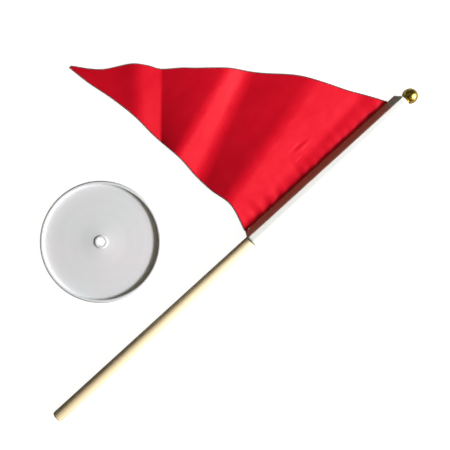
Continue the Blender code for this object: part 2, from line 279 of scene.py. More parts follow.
def finish_mesh(name, work, crease_deg=35.0):
    """Turns a bmesh into an object at the origin, shaded smooth between its sharp edges."""
    mesh = bpy.data.meshes.new(name)
    work.to_mesh(mesh)
    work.free()
    mesh.shade_smooth()
    mesh.set_sharp_from_angle(angle=math.radians(crease_deg))
    obj = bpy.data.objects.new(name, mesh)
    bpy.context.scene.collection.objects.link(obj)
    return obj


def seat(obj, body, node, material):
    """Gives a piece its body, the solid that it stands for and its finish."""
    obj.data.materials.clear()
    obj.data.materials.append(material)
    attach(obj, body)
    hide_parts(node)
    return obj


def thread_mesh(name, routes, thickness, sides=1):
    """Round threads along lists of points, with closed ends, as one mesh."""
    curve = bpy.data.curves.new(name, "CURVE")
    curve.dimensions = "3D"
    curve.bevel_depth = thickness / 2
    curve.bevel_resolution = sides
    curve.use_fill_caps = True
    for points in routes:
        spline = curve.splines.new("POLY")
        spline.points.add(len(points) - 1)
        for point, spot in zip(spline.points, points):
            point.co = (*spot, 1.0)
    guide = bpy.data.objects.new(name + "_guide", curve)
    bpy.context.scene.collection.objects.link(guide)
    bpy.context.view_layer.update()
    graph = bpy.context.evaluated_depsgraph_get()
    mesh = bpy.data.meshes.new_from_object(guide.evaluated_get(graph))
    bpy.data.objects.remove(guide, do_unlink=True)
    work = bmesh.new()
    work.from_mesh(mesh)
    bpy.data.meshes.remove(mesh)
    bmesh.ops.remove_doubles(work, verts=work.verts, dist=0.000001)
    bmesh.ops.recalc_face_normals(work, faces=work.faces)
    return work


def smooth_value(knots, at):
    """A smooth curve through (position, value) knots, read at one position."""
    index = 0
    while index < len(knots) - 2 and at > knots[index + 1][0]:
        index += 1
    (x0, y0), (x1, y1) = knots[index], knots[index + 1]
    before = knots[max(index - 1, 0)]
    after = knots[min(index + 2, len(knots) - 1)]
    slope_in = (y1 - before[1]) / (x1 - before[0])
    slope_out = (after[1] - y0) / (after[0] - x0)
    return hermite((at - x0) / (x1 - x0), y0, y1, slope_in * (x1 - x0), slope_out * (x1 - x0))


def hermite(t, low, high, leave, arrive):
    return (
        (2 * t**3 - 3 * t**2 + 1) * low
        + (t**3 - 2 * t**2 + t) * leave
        + (3 * t**2 - 2 * t**3) * high
        + (t**3 - t**2) * arrive
    )


def ease(value):
    """0 to 1, with a soft start and end, for a value that may lie outside 0 to 1."""
    t = min(max(value, 0.0), 1.0)
    return t * t * (3 - 2 * t)


# ---- the flag's surface


def lower_edge(share):
    """Distance along the pole, from the cloth's lower corner to its lower edge."""
    return smooth_value(LOWER_BOW, share) * MM - TIP_SWEEP * share


def upper_edge(share):
    tip = TIP_WIDTH - TIP_SWEEP
    return smooth_value(UPPER_BOW, share) * MM + HOIST + (tip - HOIST) * share


def fold_height(along, out):
    """Height of the folds at a place on the cloth: straight runs, rounded over at each fold."""
    lines = [(0.0, SEAM_Z, 0.0)]
    sink = 1 - FOLD_FALL * along / HOIST
    for share, slope, height, spread in FOLDS:
        lines.append((share * FLY + slope * along, height * sink, spread))
    lines.append((max(FLY, lines[-1][0] + 20 * MM), TIP_HEIGHT, 0.0))
    for before, line, after in zip(lines, lines[1:], lines[2:]):
        at, height, spread = line
        if out <= at + spread or after is lines[-1]:
            rise_in = (height - before[1]) / (at - before[0])
            rise_out = (after[1] - height) / (after[0] - at)
            if out < at - spread:
                return height + rise_in * (out - at)
            if out > at + spread:
                return max(height + rise_out * (out - at), TIP_HEIGHT)
            bend = (out - at + spread) ** 2 / (4 * spread)
            return height - rise_in * (at - out) + (rise_out - rise_in) * bend
    return TIP_HEIGHT


def pucker_height(along, out, height):
    """Short gathers that fade away from the seam."""
    gather = noise.noise(Vector((along / (9 * MM), out / (30 * MM), 4.7)))
    fade = ease(out / (3 * MM)) * math.exp(-out / (9 * MM))
    return height * gather * fade * 2.0


def pinch_height(along, out):
    """Small pinches in the first fold."""
    height = 0.0
    for at_along, at_out, reach, size in PINCHES:
        lengthways = (along - at_along) / reach
        across = (out - at_out) / PINCH_WIDTH
        height += size * math.exp(-lengthways**2 - across**2)
    return height


def ripple_height(along, out):
    """The cloth's own unevenness, from broad to fine."""
    broad = noise.noise(Vector((along / (42 * MM), out / (26 * MM), 1.3)))
    fine = noise.noise(Vector((along / (11 * MM), out / (7 * MM), 8.1)))
    return 0.45 * MM * broad + 0.07 * MM * fine


def cloth_spot(across, out, pucker):
    """A place on the cloth's middle: across is 0 at the lower edge and 1 at the upper edge."""
    share = max(out, 0.0) / FLY
    low = lower_edge(share)
    along = low + (upper_edge(share) - low) * across
    if out <= 0.0:
        return Vector((CLOTH_X + along, CLOTH_Y + out, SEAM_Z + 0.03 * out))
    detail = ripple_height(along, out) + pinch_height(along, out)
    height = fold_height(along, out) + detail * ease(out / (6 * MM))
    height -= DIP * ease(out / (2.2 * MM)) * math.exp(-out / (6 * MM))
    height += pucker_height(along, out, pucker)
    return Vector((CLOTH_X + along, CLOTH_Y + out, max(height, 0.7 * MM)))


# ---- the sleeve's section


def sleeve_section(layer):
    """The strip's middle line about the pole's axis, from the lower flap's edge round to the upper's."""
    radius = POLE_R + 0.75 * MM
    middle = SEAM_Z - POLE_AXIS.z
    meet = Vector((SEAM_OUT - TAB, layer / 2 + LAYER_GAP))
    leave = math.atan2(meet.y, meet.x) + math.acos(radius / meet.length)
    upper = []
    for index in range(18):
        t = index / 17
        flank = CREASE.lerp(meet, t)
        bulge = 0.2 * MM * math.sin(math.pi * t)
        upper.append((flank.x + bulge * math.cos(leave), flank.y + bulge * math.sin(leave)))
    for index in range(1, 4):
        upper.append((meet.x + TAB * index / 3, meet.y))
    lower = [(x, -y) for x, y in reversed(upper)]
    section = lower + arc((0.0, 0.0), radius, 360.0 - WRAP_ANGLE, WRAP_ANGLE, 46) + upper
    return [(x, y + middle * ease(x / SEAM_OUT)) for x, y in section]


def walk(points, share):
    """The place at a share of a line's length, and the length up to it."""
    lengths = [math.dist(a, b) for a, b in zip(points, points[1:])]
    goal = share * sum(lengths)
    done = 0.0
    for (start, end), length in zip(zip(points, points[1:]), lengths):
        if done + length >= goal - 1e-12:
            t = min((goal - done) / length, 1.0)
            return start[0] + (end[0] - start[0]) * t, start[1] + (end[1] - start[1]) * t
        done += length
    return points[-1]


# ---- shader helpers


def add_node(tree, kind, inputs=None, **settings):
    """A node with its settings; each input is a value or a socket to join."""
    node = tree.nodes.new(kind)
    for name, value in settings.items():
        setattr(node, name, value)
    for name, value in (inputs or {}).items():
        if isinstance(value, bpy.types.NodeSocket):
            tree.links.new(value, node.inputs[name])
        else:
            node.inputs[name].default_value = value
    return node


def maths(tree, operation, first, second=0.0):
    return add_node(tree, "ShaderNodeMath", {0: first, 1: second}, operation=operation).outputs[0]


def times(tree, first, second):
    return maths(tree, "MULTIPLY", first, second)


def mix_colours(tree, factor, first, second):
    """A colour from first at 0 to second at 1."""
    inputs = {0: factor}
    for index, colour in ((6, first), (7, second)):
        is_socket = isinstance(colour, bpy.types.NodeSocket)
        inputs[index] = colour if is_socket else (*colour, 1.0)
    node = add_node(tree, "ShaderNodeMix", inputs, data_type="RGBA")
    return node.outputs[2]


def span(tree, value, low, high, to_low, to_high):
    inputs = {"Value": value, 1: low, 2: high, 3: to_low, 4: to_high}
    return add_node(tree, "ShaderNodeMapRange", inputs).outputs[0]


def start_group(name, inputs, outputs):
    """An empty shader group with its sockets, and its input and output nodes."""
    group = bpy.data.node_groups.new(name, "ShaderNodeTree")
    for label, kind, value in inputs:
        socket = group.interface.new_socket(name=label, in_out="INPUT", socket_type=kind)
        if value is not None:
            socket.default_value = value
    for label in outputs:
        group.interface.new_socket(name=label, in_out="OUTPUT", socket_type="NodeSocketFloat")
    return group, group.nodes.new("NodeGroupInput"), group.nodes.new("NodeGroupOutput")


def weave_group():
    """Plain and twill thread heights from a cloth's own coordinates, in metres."""
    name = "Woven threads"
    if name in bpy.data.node_groups:
        return bpy.data.node_groups[name]
    sockets = (("Cloth", "NodeSocketVector", None), ("Pitch", "NodeSocketFloat", 0.5 * MM))
    group, source, result = start_group(name, sockets, ("Plain", "Twill", "Slub"))
    per_metre = maths(group, "DIVIDE", 2 * math.pi, source.outputs["Pitch"])
    parts = add_node(group, "ShaderNodeSeparateXYZ", {0: source.outputs["Cloth"]})
    along = times(group, parts.outputs[0], per_metre)
    out = times(group, parts.outputs[1], per_metre)
    half_along = times(group, along, 0.5)
    half_out = times(group, out, 0.5)
    crossing = times(group, maths(group, "SINE", half_along), maths(group, "SINE", half_out))
    plain = span(group, crossing, -1.0, 1.0, 0.0, 1.0)
    diagonal = maths(group, "SINE", maths(group, "ADD", half_along, half_out))
    twill = span(group, diagonal, -1.0, 1.0, 0.0, 1.0)
    drawn = stretch(group, source.outputs["Cloth"], (0.12, 1.0, 1.0))
    slub = add_node(group, "ShaderNodeTexNoise", {"Vector": drawn, "Scale": 700.0, "Detail": 2.0})
    group.links.new(plain, result.inputs["Plain"])
    group.links.new(twill, result.inputs["Twill"])
    group.links.new(span(group, slub.outputs[0], 0.3, 0.7, 0.0, 1.0), result.inputs["Slub"])
    return group


def patches_group():
    """Soft uneven patches, for faint changes of colour and gloss."""
    name = "Soft patches"
    if name in bpy.data.node_groups:
        return bpy.data.node_groups[name]
    sockets = (
        ("Place", "NodeSocketVector", None),
        ("Scale", "NodeSocketFloat", 40.0),
        ("Detail", "NodeSocketFloat", 3.0),
    )
    group, source, result = start_group(name, sockets, ("Patches",))
    cloud = add_node(
        group,
        "ShaderNodeTexNoise",
        {
            "Vector": source.outputs["Place"],
            "Scale": source.outputs["Scale"],
            "Detail": source.outputs["Detail"],
        },
    )
    group.links.new(span(group, cloud.outputs[0], 0.32, 0.68, 0.0, 1.0), result.inputs["Patches"])
    return group


def patches(tree, place, scale, detail=3.0):
    inputs = {"Place": place, "Scale": scale, "Detail": detail}
    node = add_node(tree, "ShaderNodeGroup", inputs, node_tree=patches_group())
    return node.outputs["Patches"]


def weave(tree, place, pitch):
    inputs = {"Cloth": place, "Pitch": pitch}
    return add_node(tree, "ShaderNodeGroup", inputs, node_tree=weave_group())


def stretch(tree, place, scale):
    """A place whose noise is drawn out along an axis that has a small scale."""
    return add_node(tree, "ShaderNodeMapping", {"Vector": place, "Scale": scale}).outputs[0]


def feed(node, name, socket):
    node.id_data.links.new(socket, node.inputs[name])


def preset(node, name, value):
    node.inputs[name].default_value = value


def shade(colour, *parts):
    """A colour times one number, or times one for each of its parts."""
    parts = parts if len(parts) == 3 else parts * 3
    return tuple(value * part for value, part in zip(colour, parts))


def bump(tree, height, distance, strength=1.0):
    inputs = {"Height": height, "Distance": distance, "Strength": strength}
    return add_node(tree, "ShaderNodeBump", inputs).outputs[0]


def start_material(name, roughness, metallic=0.0):
    """A material with its Principled shader, set to the given roughness and metalness."""
    material = bpy.data.materials.new(name)
    material.use_nodes = True
    tree = material.node_tree
    shader = tree.nodes["Principled BSDF"]
    preset(shader, "Roughness", roughness)
    preset(shader, "Metallic", metallic)
    return material, tree, shader


def object_place(tree):
    return add_node(tree, "ShaderNodeTexCoord").outputs["Object"]


def cloth_place(tree):
    return add_node(tree, "ShaderNodeUVMap", uv_map="cloth").outputs[0]


# ---- finishes


def wood_finish(look):
    """Pale dowel wood: growth lines along the pole, fine pores and a darker end grain at the foot."""
    material, tree, shader = start_material("pole_wood", 0.55)
    place = object_place(tree)
    log = add_node(
        tree,
        "ShaderNodeMapping",
        {"Vector": place, "Location": (0.0, 0.139, -0.021), "Scale": (0.035, 1.0, 1.0)},
    ).outputs[0]
    ring_scale = 2 * math.pi / (20 * look.ring_spacing)
    rings = add_node(
        tree,
        "ShaderNodeTexWave",
        {"Vector": log, "Scale": ring_scale, "Distortion": 3.5, "Detail": 2.0, "Detail Scale": 0.25},
        wave_type="RINGS",
        rings_direction="X",
    ).outputs["Fac"]
    fibres = patches(tree, stretch(tree, place, (0.02, 1.0, 1.0)), 2600.0, 3.0)
    broad = patches(tree, log, 160.0, 2.0)
    wood = mix_colours(tree, times(tree, rings, 0.55), look.light_wood, look.dark_wood)
    pore = shade(look.dark_wood, 0.62)
    wood = mix_colours(tree, times(tree, fibres, 0.22), wood, pore)
    pale = tuple(min(part * 1.1, 1.0) for part in look.light_wood)
    wood = mix_colours(tree, times(tree, broad, 0.25), wood, pale)
    along = add_node(tree, "ShaderNodeSeparateXYZ", {0: place}).outputs[0]
    foot = span(tree, along, POLE_LOW.x + 0.2 * MM, POLE_LOW.x + 2.2 * MM, 0.38, 0.0)
    wood = mix_colours(tree, foot, wood, look.dark_wood)
    feed(shader, "Base Color", wood)
    feed(shader, "Roughness", span(tree, fibres, 0.0, 1.0, 0.48, 0.66))
    relief = maths(tree, "ADD", fibres, times(tree, rings, 0.5))
    feed(shader, "Normal", bump(tree, relief, 0.05 * MM))
    return material


def brass_finish(look):
    """Polished brass with turning lines, faint tarnish and more of it in the neck's groove."""
    material, tree, shader = start_material("finial_brass", 0.14, 1.0)
    place = object_place(tree)
    along = add_node(tree, "ShaderNodeSeparateXYZ", {0: place}).outputs[0]
    groove = span(tree, along, BALL_LOW.x + 0.9 * MM, BALL_LOW.x + 2.2 * MM, 0.85, 0.0)
    film = times(tree, patches(tree, place, 300.0, 4.0), 0.5)
    dull = maths(tree, "MAXIMUM", groove, film)
    metal = mix_colours(tree, dull, look.brass, look.tarnish)
    feed(shader, "Base Color", metal)
    feed(shader, "Roughness", span(tree, dull, 0.0, 1.0, 0.11, 0.34))
    turning = patches(tree, stretch(tree, place, (1.0, 0.02, 0.02)), 3500.0, 1.0)
    dents = patches(tree, place, 170.0, 1.0)
    relief = maths(tree, "ADD", times(tree, turning, 0.05), dents)
    feed(shader, "Normal", bump(tree, relief, 0.25 * MM))
    return material


def steel_finish(look):
    """Drawn steel wire, with lines along the pin."""
    material, tree, shader = start_material("pin_steel", 0.34, 1.0)
    place = object_place(tree)
    lines = patches(tree, stretch(tree, place, (0.03, 1.0, 1.0)), 4200.0, 2.0)
    dark = shade(look.steel, 0.6)
    feed(shader, "Base Color", mix_colours(tree, lines, look.steel, dark))
    feed(shader, "Roughness", span(tree, lines, 0.0, 1.0, 0.26, 0.44))
    feed(shader, "Normal", bump(tree, lines, 0.02 * MM))
    return material


def canvas_finish(look, girth):
    """White cotton heading: a plain weave, slubs, handling marks, painted red bounce light from the flag
    on the shaded flank beside the seam, and a painted dark seam shadow along the flap edges.
    """
    material, tree, shader = start_material("sleeve_canvas", 0.88)
    place = cloth_place(tree)
    threads = weave(tree, place, look.thread_pitch)
    soil = patches(tree, object_place(tree), 55.0, 4.0)
    grey = shade(look.canvas, 0.80)
    cream = shade(look.canvas, 0.98, 0.97, 0.93)
    cloth = mix_colours(tree, span(tree, threads.outputs["Plain"], 0, 1, 0.35, 0), look.canvas, grey)
    cloth = mix_colours(tree, times(tree, soil, 0.35), cloth, cream)
    cloth = mix_colours(tree, times(tree, threads.outputs["Slub"], 0.2), cloth, grey)
    parts = add_node(tree, "ShaderNodeSeparateXYZ", {0: place}).outputs
    seamward = maths(tree, "ABSOLUTE", maths(tree, "SUBTRACT", parts[1], girth / 2))
    # Painted red bounce light: the canvas is tinted red within 7 mm of each flap edge, fading out by 10.5
    # mm, and it stops over the last 4 mm before the flag's upper corner.
    red_bounce_mask = span(tree, seamward, girth / 2 - 10.5 * MM, girth / 2 - 7 * MM, 0.0, 0.92)
    flag_top = LOW_SETBACK + HOIST
    red_bounce_mask = times(tree, red_bounce_mask, span(tree, parts[0], flag_top - 4 * MM, flag_top, 1.0, 0.0))
    cloth = mix_colours(tree, red_bounce_mask, cloth, look.red_bounce)
    # Painted seam shadow: the last 0.9 to 1.5 mm of each flap edge turns a deep red, the tint's colour
    # cubed.
    edge = span(tree, seamward, girth / 2 - 1.5 * MM, girth / 2 - 0.9 * MM, 0.0, 0.9)
    cloth = mix_colours(tree, edge, cloth, tuple(part**3 for part in look.red_bounce))
    feed(shader, "Base Color", cloth)
    relief = maths(
        tree, "ADD", threads.outputs["Plain"], times(tree, threads.outputs["Slub"], 0.7)
    )
    feed(shader, "Normal", bump(tree, relief, 0.09 * MM))
    preset(shader, "Sheen Weight", 0.15)
    preset(shader, "Sheen Roughness", 0.6)
    return material


def satin_finish(look):
    """Red satin: a fine diagonal weave, slubs along the weft and a soft gloss."""
    material, tree, shader = start_material("flag_satin", 0.43)
    place = cloth_place(tree)
    threads = weave(tree, place, look.thread_pitch)
    cloud = patches(tree, place, 60.0, 3.0)
    deep = shade(look.satin, 0.80, 0.4, 0.5)
    worn = (look.satin[0] * 1.04, look.satin[1] + 0.002, look.satin[2] + 0.003)
    cloth = mix_colours(tree, span(tree, threads.outputs["Twill"], 0, 1, 0.42, 0), look.satin, deep)
    cloth = mix_colours(tree, times(tree, threads.outputs["Slub"], 0.35), cloth, deep)
    cloth = mix_colours(tree, times(tree, cloud, 0.4), cloth, worn)
    feed(shader, "Base Color", cloth)
    gloss = maths(tree, "ADD", cloud, threads.outputs["Slub"])
    feed(shader, "Roughness", span(tree, gloss, 0.0, 2.0, 0.38, 0.48))
    relief = maths(
        tree, "ADD", threads.outputs["Twill"], times(tree, threads.outputs["Slub"], 0.8)
    )
    feed(shader, "Normal", bump(tree, relief, 0.045 * MM))
    facing = add_node(tree, "ShaderNodeLayerWeight", {"Blend": 0.5}).outputs["Facing"]
    feed(shader, "Specular IOR Level", span(tree, facing, 0.15, 0.65, 0.4, 0.04))
    preset(shader, "Specular Tint", (1.0, 0.78, 0.95, 1.0))
    preset(shader, "Sheen Weight", 0.02)
    preset(shader, "Sheen Roughness", 0.4)
    preset(shader, "Sheen Tint", (1.0, 0.3, 0.35, 1.0))
    return material


def thread_finish(name, colour):
    """Twisted sewing thread: short plies and loose fibres."""
    material, tree, shader = start_material(name, 0.8)
    place = object_place(tree)
    plies = patches(tree, place, 3800.0, 2.0)
    dark = shade(colour, 0.55)
    feed(shader, "Base Color", mix_colours(tree, plies, colour, dark))
    feed(shader, "Roughness", span(tree, plies, 0.0, 1.0, 0.68, 0.9))
    feed(shader, "Normal", bump(tree, plies, 0.05 * MM))
    return material


def plastic_finish(look):
    """White moulded plastic: a satin skin, faint flow marks round the hole and light scuffs."""
    material, tree, shader = start_material("base_plastic", 0.42)
    place = object_place(tree)
    centred = add_node(
        tree, "ShaderNodeMapping", {"Vector": place, "Location": (-BASE_CENTRE.x, -BASE_CENTRE.y, 0.0)}
    ).outputs[0]
    flow = add_node(
        tree,
        "ShaderNodeTexWave",
        {"Vector": centred, "Scale": 26.0, "Distortion": 2.0, "Detail": 2.0, "Detail Scale": 1.0},
        wave_type="RINGS",
        rings_direction="Z",
    ).outputs["Fac"]
    cloud = patches(tree, centred, 14.0, 2.0)
    skin = patches(tree, centred, 1900.0, 2.0)
    scuff_place = add_node(
        tree, "ShaderNodeMapping", {"Vector": centred, "Rotation": (0, 0, 0.6), "Scale": (1, 0.06, 1)}
    ).outputs[0]
    scuffs = span(tree, patches(tree, scuff_place, 900.0, 3.0), 0.82, 1.0, 0.0, 1.0)
    cool = shade(look.plastic, 0.955, 0.985, 0.985)
    warm = shade(look.plastic, 1.01, 0.965, 0.985)
    skin_colour = mix_colours(tree, cloud, cool, warm)
    grey = shade(look.plastic, 0.86)
    skin_colour = mix_colours(tree, times(tree, flow, 0.12), skin_colour, grey)
    skin_colour = mix_colours(tree, times(tree, scuffs, 0.3), skin_colour, grey)
    feed(shader, "Base Color", skin_colour)
    rough = maths(tree, "ADD", times(tree, cloud, 0.06), times(tree, scuffs, 0.2))
    feed(shader, "Roughness", maths(tree, "ADD", rough, 0.38))
    relief = maths(tree, "ADD", skin, times(tree, flow, 0.6))
    feed(shader, "Normal", bump(tree, relief, 0.012 * MM))
    return material


# ---- operators


class PENNANT_OT_pole(bpy.types.Operator):
    """Turn the wooden dowel, with its worn foot and the bore for the pin"""

    bl_idname = "pennant.pole"
    bl_label = "Pole"

    def execute(self, context):
        look = context.scene.pole_look
        soft = look.foot_softness
        length = POLE_HIGH.x - POLE_LOW.x
        bore_end = PIN_LOW.x - PIN_END_GAP - POLE_LOW.x
        top = 0.4 * MM
        profile = [(bore_end, 0.0), (bore_end, PIN_BORE_R), (length - 0.2 * MM, PIN_BORE_R)]
        profile += [(length, PIN_BORE_R + 0.2 * MM), (length, POLE_R - top)]
        profile += [(length - top * 0.3, POLE_R - top * 0.3), (length - top, POLE_R)]
        profile += arc((soft, POLE_R - soft), soft, 90.0, 180.0, 7)
        profile += [(0.0, 0.5 * POLE_R), (0.0, 0.0)]
        start = Vector((POLE_LOW.x, POLE_AXIS.y, POLE_AXIS.z))
        axis, side = Vector((1, 0, 0)), Vector((0, 0, 1))
        work = spin_profile(profile, start, axis, side, look.steps)
        dowel = finish_mesh("turned_dowel", work)
        seat(dowel, "pole", "pole_dowel", wood_finish(look))
        return {"FINISHED"}


class PENNANT_OT_finial(bpy.types.Operator):
    """Turn the brass ball with its grooved neck, and finish the steel pin inside it"""

    bl_idname = "pennant.finial"
    bl_label = "Finial ball and pin"

    def execute(self, context):
        look = context.scene.finial_look
        foot = BALL_LOW.x - BALL_X
        bore_end = PIN_HIGH.x + PIN_END_GAP - BALL_X
        groove = foot + 0.75 * MM
        meet = math.degrees(math.asin((groove + 0.25 * MM) / BALL_R))
        profile = [(BALL_R * math.sin(a), BALL_R * math.cos(a)) for a in self.ball_angles(meet)]
        profile += [(groove + 0.1 * MM, NECK_R - 0.55 * MM), (groove - 0.05 * MM, NECK_R - 0.5 * MM)]
        profile += arc((foot + 0.35 * MM, NECK_R - 0.35 * MM), 0.35 * MM, 10.0, 180.0, 8)
        profile += [(foot, PIN_BORE_R + 0.2 * MM), (foot + 0.2 * MM, PIN_BORE_R)]
        profile += [(bore_end, PIN_BORE_R), (bore_end, 0.0)]
        centre = Vector((BALL_X, POLE_AXIS.y, POLE_AXIS.z))
        axis, side = Vector((1, 0, 0)), Vector((0, 0, 1))
        work = spin_profile(profile, centre, axis, side, look.steps)
        ball = finish_mesh("brass_ball", work)
        seat(ball, "finial", "finial_ball", brass_finish(look))
        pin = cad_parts["finial_pin"]
        pin.data.materials.clear()
        pin.data.materials.append(steel_finish(look))
        return {"FINISHED"}

    def ball_angles(self, meet_deg):
        """Angles on the ball from its top to the groove, in radians."""
        count = 44
        angles = []
        for index in range(count + 1):
            angles.append(math.radians(90.0 + (meet_deg - 90.0) * index / count))
        return angles


class PENNANT_OT_sleeve(bpy.types.Operator):
    """Wrap the heading's strip round the dowel, with its two layers laid together at the seam"""

    bl_idname = "pennant.sleeve"
    bl_label = "Sleeve"

    def execute(self, context):
        look = context.scene.sleeve_look
        section = sleeve_section(look.thickness)
        girth = sum(math.dist(a, b) for a, b in zip(section, section[1:]))
        length = SLEEVE_HIGH.x - SLEEVE_LOW.x
        work = bmesh.new()
        bmesh.ops.create_grid(work, x_segments=130, y_segments=84, size=0.5)
        grid_uv = work.loops.layers.uv.new("cloth")
        for face in work.faces:
            for loop in face.loops:
                spot = loop.vert.co
                loop[grid_uv].uv = ((spot.x + 0.5) * length, (spot.y + 0.5) * girth)
        for vert in work.verts:
            vert.co = self.strip_spot(look, section, vert.co.x + 0.5, vert.co.y + 0.5, length)
        bmesh.ops.recalc_face_normals(work, faces=work.faces)
        area = sum(face.calc_area() for face in work.faces)
        strip = finish_mesh("wrapped_sleeve", work, 60.0)
        layer = strip.modifiers.new("Layer", "SOLIDIFY")
        layer.thickness = look.thickness
        layer.offset = 0.0
        seat(strip, "flag", "flag_sleeve", canvas_finish(look, girth))
        return {"FINISHED"}

    def strip_spot(self, look, section, lengthways, round_share, length):
        """A place on the strip, with its hems, creases and set-back flap corners."""
        y, z = walk(section, round_share)
        x = lengthways * length
        past = max(0.0, (y - POLE_R) / (SEAM_OUT - POLE_R))
        x += past * LOW_SETBACK * (1 - lengthways) ** 8 - past**0.8 * TOP_SETBACK * lengthways**8
        from_end = min(lengthways, 1 - lengthways) * length
        hem = 0.22 * MM * (1 - ease((from_end - look.hem) / (0.8 * MM)))
        hem -= 0.5 * MM * (1 - ease(from_end / (3 * MM)))
        crumple = noise.noise(Vector((x / (16 * MM), round_share * 7.0, 2.2))) * 0.16 * MM
        crumple += noise.noise(Vector((x / (4.5 * MM), round_share * 16.0, 5.2))) * 0.05 * MM
        tab = ease((y - POLE_R - 2 * MM) / (2 * MM))
        out = (hem + crumple * 0.5 + 0.08 * MM) * (1 - tab)
        reach = math.hypot(y, z)
        y += y / reach * out
        z += z / reach * out
        upper = 1.0 if round_share > 0.5 else -1.0
        pull = 0.5 - 0.5 * math.cos(2 * math.pi * x / (3.0 * MM))
        z += tab * upper * (0.05 * MM * pull + abs(crumple) * 0.6)
        return Vector((SLEEVE_LOW.x + x, POLE_AXIS.y + y, POLE_AXIS.z + z))


class PENNANT_OT_cloth(bpy.types.Operator):
    """Lay the satin triangle in its folds, tucked into the sleeve's seam"""

    bl_idname = "pennant.cloth"
    bl_label = "Flag cloth"

    def execute(self, context):
        look = context.scene.cloth_look
        work = bmesh.new()
        bmesh.ops.create_grid(work, x_segments=look.rows_along, y_segments=look.rows_out, size=0.5)
        spots = {}
        for vert in work.verts:
            out = (vert.co.y + 0.5) * (FLY + TUCK) - TUCK
            spots[vert] = cloth_spot(vert.co.x + 0.5, out, look.pucker)
        layer = work.loops.layers.uv.new("cloth")
        for face in work.faces:
            for loop in face.loops:
                spot = spots[loop.vert]
                loop[layer].uv = (spot.x - CLOTH_X, spot.y - CLOTH_Y)
        for vert, spot in spots.items():
            vert.co = spot
        bmesh.ops.recalc_face_normals(work, faces=work.faces)
        area = sum(face.calc_area() for face in work.faces)
        satin = finish_mesh("satin_pennant", work, 60.0)
        thickness = satin.modifiers.new("Thickness", "SOLIDIFY")
        thickness.thickness = look.thickness
        thickness.offset = 0.0
        seat(satin, "flag", "flag_cloth", satin_finish(look))
        return {"FINISHED"}


class PENNANT_OT_edging(bpy.types.Operator):
    """Wind the finishing thread round the cloth's two free edges"""

    bl_idname = "pennant.edging"
    bl_label = "Edge threads"

    def execute(self, context):
        look = context.scene.thread_look
        finish = thread_finish("edge_thread", look.edging)
        for name, node, across in (
            ("upper_edging", "upper_edge_thread", 1.0),
            ("lower_edging", "lower_edge_thread", 0.0),
        ):
            core, wrap = self.edging_routes(look, across, context.scene.cloth_look.pucker)
            work = thread_mesh(name, [core, wrap], THREAD_D)
            seat(finish_mesh(name, work, 80.0), "flag", node, finish)
        return {"FINISHED"}

    def edging_routes(self, look, across, pucker):
        """The straight thread on the edge, and the one that winds round it and the cloth."""
        turns_per_step = 8
        edge = [cloth_spot(across, FLY * index / 400, pucker) for index in range(401)]
        length = sum((b - a).length for a, b in zip(edge, edge[1:]))
        count = int(length / look.wrap_pitch) * turns_per_step
        turn = 1.0 if across > 0.5 else -1.0
        core, wrap = [], []
        for index in range(count + 1):
            out = FLY * index / count
            spot = cloth_spot(across, out, pucker)
            ahead = cloth_spot(across, min(out + 1 * MM, FLY), pucker)
            back = cloth_spot(across, max(out - 1 * MM, 0.0), pucker)
            tangent = (ahead - back).normalized()
            sideways = Vector((tangent.y, -tangent.x, 0.0)).normalized() * turn
            upwards = tangent.cross(sideways) * -turn
            angle = 2 * math.pi * index / turns_per_step
            if index % turns_per_step == 0:
                core.append(spot + sideways * 0.35 * MM)
            loop = sideways * (0.62 * MM * math.cos(angle) - 0.1 * MM)
            wrap.append(spot + loop + upwards * 0.36 * MM * math.sin(angle))
        return core, wrap


class PENNANT_OT_stitching(bpy.types.Operator):
    """Sew the seam with single stitches on both faces, and tie the knot at its lower end"""

    bl_idname = "pennant.stitching"
    bl_label = "Seam stitches and knot"

    def execute(self, context):
        look = context.scene.thread_look
        finish = thread_finish("seam_thread", look.stitching)
        layer = context.scene.sleeve_look.thickness
        row_y = POLE_AXIS.y + SEAM_OUT - 0.55 * MM
        face = layer + LAYER_GAP + 0.1 * MM
        low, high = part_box("seam_thread")
        pitch = look.stitch + look.stitch_gap
        work = bmesh.new()
        for index in range(int((high.x - low.x) / pitch) + 1):
            for side in (1.0, -1.0):
                shift = 0.0 if side > 0 else pitch / 2
                spot = Vector((low.x + index * pitch + shift, row_y, SEAM_Z + side * face))
                self.add_stitch(work, look, spot, index)
        row = finish_mesh("seam_stitches", work, 80.0)
        seat(row, "flag", "seam_thread", finish)
        self.tie_knot(finish, Vector((0.0, row_y, SEAM_Z + face)))
        return {"FINISHED"}

    def add_stitch(self, work, look, spot, index):
        """One stitch: a short bead of thread, sunk a little at its ends."""
        lean = math.radians(4.0 + 3.0 * math.sin(index * 2.1))
        size = Matrix.Diagonal((look.stitch / 2, 0.26 * MM, 0.2 * MM, 1.0))
        place = Matrix.Translation(spot) @ Matrix.Rotation(lean, 4, "Z") @ size
        bmesh.ops.create_uvsphere(work, u_segments=8, v_segments=6, radius=1.0, matrix=place)

    def tie_knot(self, finish, spot):
        """A small overhand knot with two cut tails."""
        low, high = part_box("seam_end_knot")
        spot.x = (low.x + high.x) / 2
        spot.z += 0.35 * MM
        size = (high.x - low.x) / 2 / 3.4
        loop = []
        for index in range(73):
            t = 2 * math.pi * index / 72
            round_way = 2 + math.cos(3 * t)
            loop.append(
                spot
                + Vector((round_way * math.cos(2 * t), round_way * math.sin(2 * t), 1.6 * math.sin(3 * t)))
                * size
            )
        tails = []
        for way in (-1.0, 1.0):
            tail = []
            for index in range(7):
                t = index / 6
                tail.append(spot + Vector((way * (0.3 + 1.5 * t), 0.5 * t * way, -0.3 * t)) * MM)
            tails.append(tail)
        work = thread_mesh("seam_knot", [loop, *tails], THREAD_D, 2)
        seat(finish_mesh("seam_knot", work, 80.0), "flag", "seam_end_knot", finish)


